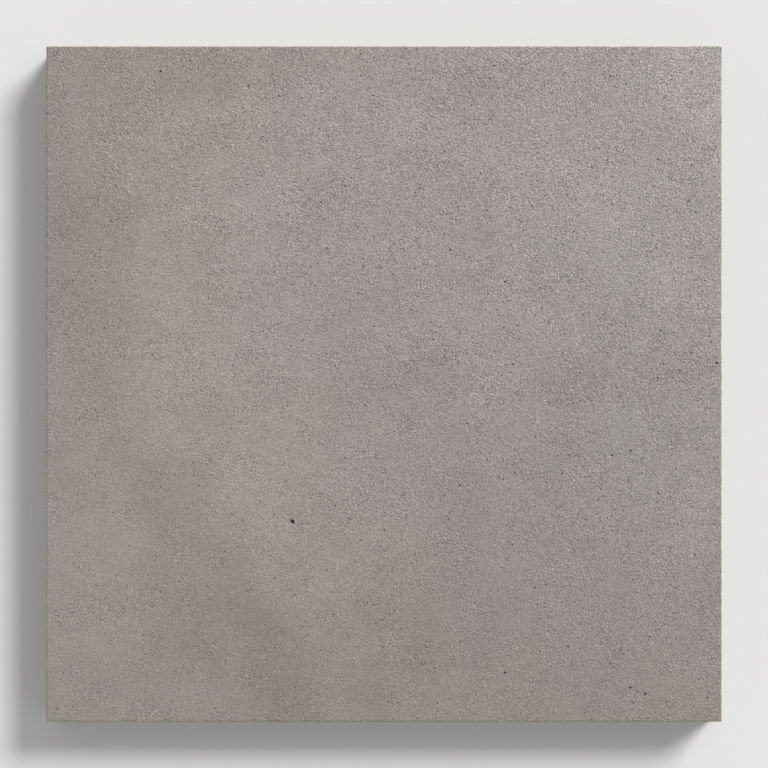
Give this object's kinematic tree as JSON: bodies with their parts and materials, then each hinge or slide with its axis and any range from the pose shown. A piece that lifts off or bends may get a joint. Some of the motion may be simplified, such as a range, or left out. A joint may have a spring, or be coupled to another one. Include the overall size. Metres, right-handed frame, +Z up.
{
  "type": "concrete paving slab",
  "caption": "Square cast concrete paving slab with a flat, finely sanded walking face, crisp eased edges, sides that lean out to the back and a rough flat back to bed on.",
  "frame": {"origin": "centre of the back, the face that beds on the ground", "axes": "+Z up, out of the walking face; +X and +Y along the sides"},
  "size_m": [0.45, 0.45, 0.04],
  "materials": {
    "concrete": "matte"
  },
  "bodies": {
    "root": {"paving_slab": "concrete"}
  },
  "joints": []
}
